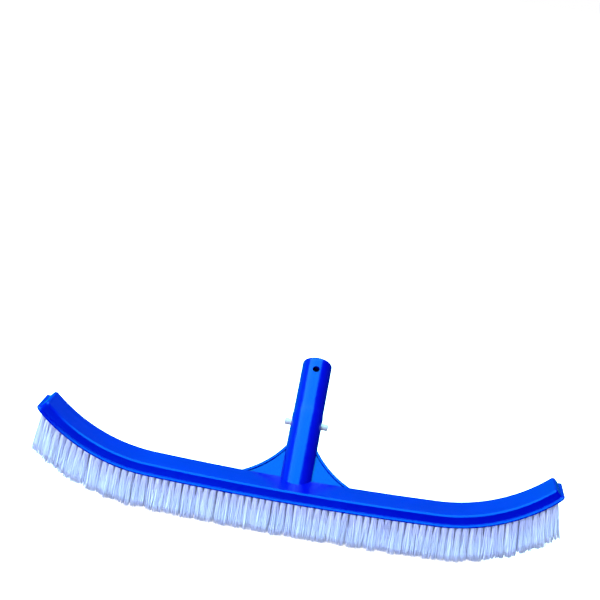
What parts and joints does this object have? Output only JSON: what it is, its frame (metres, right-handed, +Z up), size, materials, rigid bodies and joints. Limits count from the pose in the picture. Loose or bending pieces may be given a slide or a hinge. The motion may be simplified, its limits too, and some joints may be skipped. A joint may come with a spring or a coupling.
{
  "type": "pool wall brush",
  "caption": "Wide curved pool wall brush: moulded plastic back with a leaning pole tube, a spring clip with push buttons inside the plugged tube, and staggered rows of bristle tufts.",
  "frame": {"origin": "middle of the bristle tips, on the surface that the brush stands on, at the tip of the centre tuft", "axes": "+X along the brush to its right end, seen from the front; +Y to the back, the way the tube leans; +Z up, from the bristles to the back"},
  "size_m": [0.4624, 0.1402, 0.1332],
  "materials": {
    "blue_plastic": "glossy",
    "white_plastic": "satin",
    "bristle": "satin",
    "anchor_wire": "bright wire"
  },
  "bodies": {
    "brush": {"back": "blue_plastic", "socket": "blue_plastic", "end_plug": "blue_plastic", "clip_bow": "white_plastic", "tufts_row1_left": "bristle", "tufts_row1_middle": "bristle", "tufts_row1_right": "bristle", "tufts_row2_left": "bristle", "tufts_row2_middle": "bristle", "tufts_row2_right": "bristle", "tufts_row3_left": "bristle", "tufts_row3_middle": "bristle", "tufts_row3_right": "bristle", "tufts_row4_left": "bristle", "tufts_row4_middle": "bristle", "tufts_row4_right": "bristle", "tufts_row5_left": "bristle", "tufts_row5_middle": "bristle", "tufts_row5_right": "bristle", "anchors_row1_left": "anchor_wire", "anchors_row1_middle": "anchor_wire", "anchors_row1_right": "anchor_wire", "anchors_row2_left": "anchor_wire", "anchors_row2_middle": "anchor_wire", "anchors_row2_right": "anchor_wire", "anchors_row3_left": "anchor_wire", "anchors_row3_middle": "anchor_wire", "anchors_row3_right": "anchor_wire", "anchors_row4_left": "anchor_wire", "anchors_row4_middle": "anchor_wire", "anchors_row4_right": "anchor_wire", "anchors_row5_left": "anchor_wire", "anchors_row5_middle": "anchor_wire", "anchors_row5_right": "anchor_wire"},
    "left_arm": {"clip_arm_left": "white_plastic"},
    "right_arm": {"clip_arm_right": "white_plastic"}
  },
  "joints": [
    {"name": "left_button_press", "type": "hinge", "parent": "brush", "child": "left_arm", "pos_m": [-0.0061, 0.03843, 0.05694], "axis": [0, 0.682, -0.7314], "range_deg": [0, 10.2], "stiffness_Nm_per_rad": 1.2, "springref_deg": -2.86},
    {"name": "right_button_press", "type": "hinge", "parent": "brush", "child": "right_arm", "pos_m": [0.0061, 0.03843, 0.05694], "axis": [0, -0.682, 0.7314], "range_deg": [0, 10.2], "stiffness_Nm_per_rad": 1.2, "springref_deg": -2.86}
  ]
}
